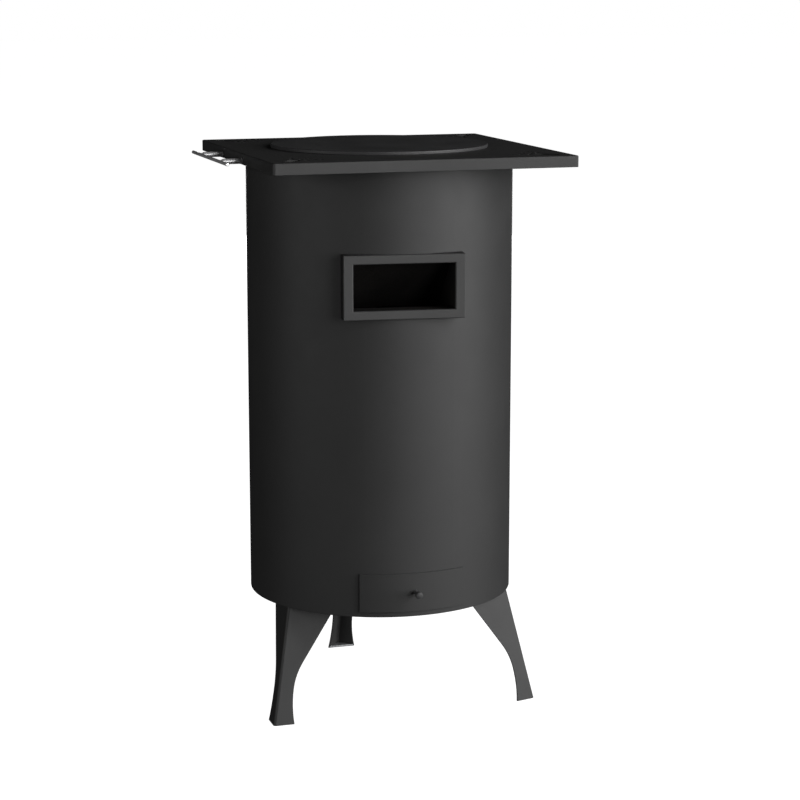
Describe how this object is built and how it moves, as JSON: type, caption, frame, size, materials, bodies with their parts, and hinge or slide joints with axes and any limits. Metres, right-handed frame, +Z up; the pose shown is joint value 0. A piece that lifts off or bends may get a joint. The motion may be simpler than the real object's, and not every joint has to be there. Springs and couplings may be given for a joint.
{
  "type": "rocket stove",
  "caption": "Free-standing rocket stove: round body on splayed folded legs, square top with lift-off hotplate and side rail, framed feed opening, sliding ash drawer.",
  "frame": {"origin": "on the floor, at the centre of the whole stove's outline seen from above", "axes": "+Z up; -Y towards the front with the feed opening and the drawer; -X towards the side rail"},
  "size_m": [0.4864, 0.4853, 0.8502],
  "materials": {
    "stove_paint": "matt heat-resistant charcoal paint on folded sheet steel",
    "flue_steel": "sooted dark steel inside the fire path",
    "cast_iron": "fine sand-cast iron, seasoned black",
    "rail_steel": "polished stainless steel",
    "zinc": "zinc-plated steel",
    "wool": "ceramic-fibre blanket"
  },
  "bodies": {
    "stove_body": {"body_shell": "stove_paint", "base_disc": "stove_paint", "chamber_floor": "flue_steel", "floor_brackets": "flue_steel", "riser_tube": "flue_steel", "insulation_wool": "wool", "burner_deck": "flue_steel", "deck_brackets": "flue_steel", "pot_support": "cast_iron", "feed_chute": "flue_steel", "feed_collar": "flue_steel", "feed_frame": "stove_paint", "feed_frame_sides": "stove_paint", "top_ring": "stove_paint", "top_studs": "zinc", "top_nuts": "zinc", "top_plate": "stove_paint", "top_underplate": "stove_paint", "rail_bar": "rail_steel", "rail_post_front": "rail_steel", "rail_post_rear": "rail_steel", "rail_screws": "zinc", "drawer_runner_left": "zinc", "drawer_runner_right": "zinc", "leg_front_left": "stove_paint", "leg_front_right": "stove_paint", "leg_rear": "stove_paint", "foot_plate_front_left": "zinc", "foot_plate_front_right": "zinc", "foot_plate_rear": "zinc", "leg_cap_front_left": "stove_paint", "leg_cap_front_right": "stove_paint", "leg_cap_rear": "stove_paint", "leg_bolts": "zinc", "leg_nuts": "zinc"},
    "hotplate": {"hotplate": "cast_iron", "hotplate_ring": "cast_iron"},
    "ash_drawer": {"drawer_front": "stove_paint", "drawer_tray": "zinc", "drawer_knob": "cast_iron", "drawer_knob_screw": "zinc"},
    "grate": {"grate": "cast_iron"}
  },
  "joints": [
    {"name": "hotplate_lift", "type": "slide", "parent": "stove_body", "child": "hotplate", "axis": [0, 0, 1], "range_m": [0, 0.1]},
    {"name": "drawer_slide", "type": "slide", "parent": "stove_body", "child": "ash_drawer", "axis": [-0.0349, -0.9994, 0], "range_m": [0, 0.2]},
    {"name": "grate_lift", "type": "slide", "parent": "stove_body", "child": "grate", "axis": [0, 0, 1], "range_m": [0, 0.4]}
  ]
}
